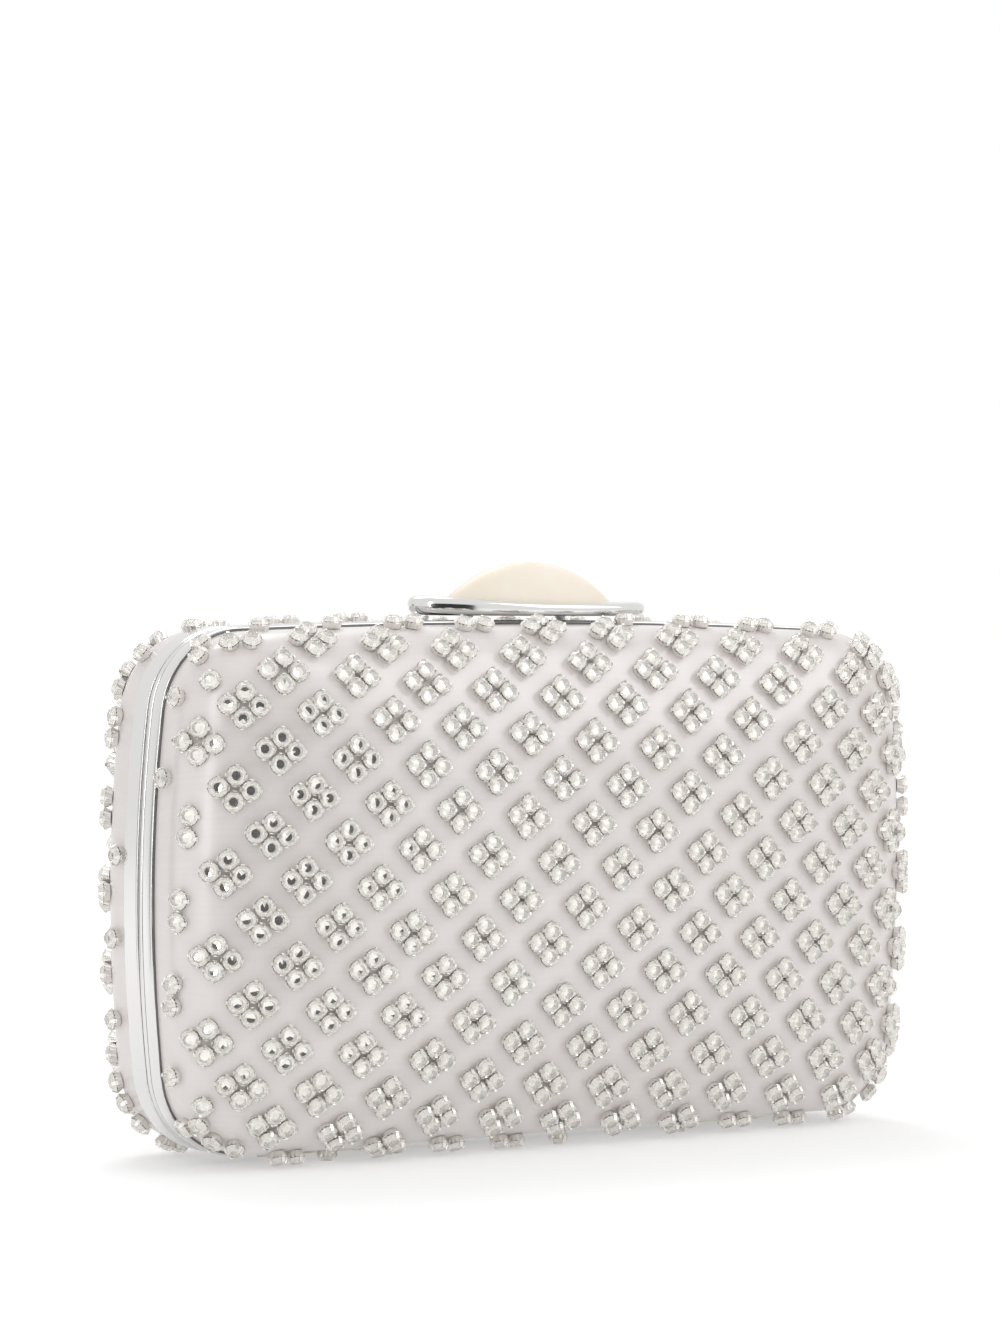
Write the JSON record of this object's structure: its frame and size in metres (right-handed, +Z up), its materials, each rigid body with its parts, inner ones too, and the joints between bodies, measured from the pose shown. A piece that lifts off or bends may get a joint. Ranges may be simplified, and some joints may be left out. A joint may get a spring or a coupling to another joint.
{
  "type": "minaudiere clutch",
  "caption": "Hard-shell evening clutch of two domed satin halves set with crystal clusters, hinged under the base and closed by a jewelled push-button clasp.",
  "frame": {"origin": "centre of the base on the plane that the base crystals stand on, in the meeting plane of the two halves", "axes": "+Z up, -Y out of the front half, +X to the right as seen from the front"},
  "size_m": [0.191, 0.065, 0.1239],
  "materials": {
    "satin": "satin weave",
    "shell": "moulded",
    "lining": "soft brushed",
    "polished_frame": "polished",
    "crystal": "cut and polished",
    "claw_cup": "silver plated",
    "cabochon": "polished opaline",
    "plated_brass": "silver plated",
    "steel": "plain"
  },
  "bodies": {
    "back_half": {"back_base_crystals": "crystal", "back_crystal_cups": "claw_cup", "back_crystals": "crystal", "back_frame": "polished_frame", "back_hinge_leaves": "plated_brass", "back_hinge_rivets": "steel", "back_lining": "lining", "back_satin": "satin", "back_shell": "shell", "hinge_pins": "steel", "latch_block": "plated_brass", "latch_rivets": "steel", "latch_spring": "steel", "stem_bushings": "plated_brass"},
    "front_half": {"catch_plate": "plated_brass", "catch_rivets": "steel", "front_base_crystals": "crystal", "front_crystal_cups": "claw_cup", "front_crystals": "crystal", "front_frame": "polished_frame", "front_hinge_leaves": "plated_brass", "front_hinge_rivets": "steel", "front_lining": "lining", "front_satin": "satin", "front_shell": "shell"},
    "button": {"clasp_ring": "polished_frame", "clasp_seat": "plated_brass", "cabochon": "cabochon", "button_stems": "steel", "stem_clips": "steel", "latch_bar": "plated_brass"}
  },
  "joints": [
    {"name": "lid_hinge", "type": "hinge", "parent": "back_half", "child": "front_half", "pos_m": [0, 0, 0.00105], "axis": [1, 0, 0], "range_deg": [0, 100]},
    {"name": "button_press", "type": "slide", "parent": "back_half", "child": "button", "axis": [0, 0, -1], "range_m": [0, 0.0008], "stiffness_N_per_m": 1500, "springref_m": -0.002, "deforming": ["latch_spring"]}
  ]
}
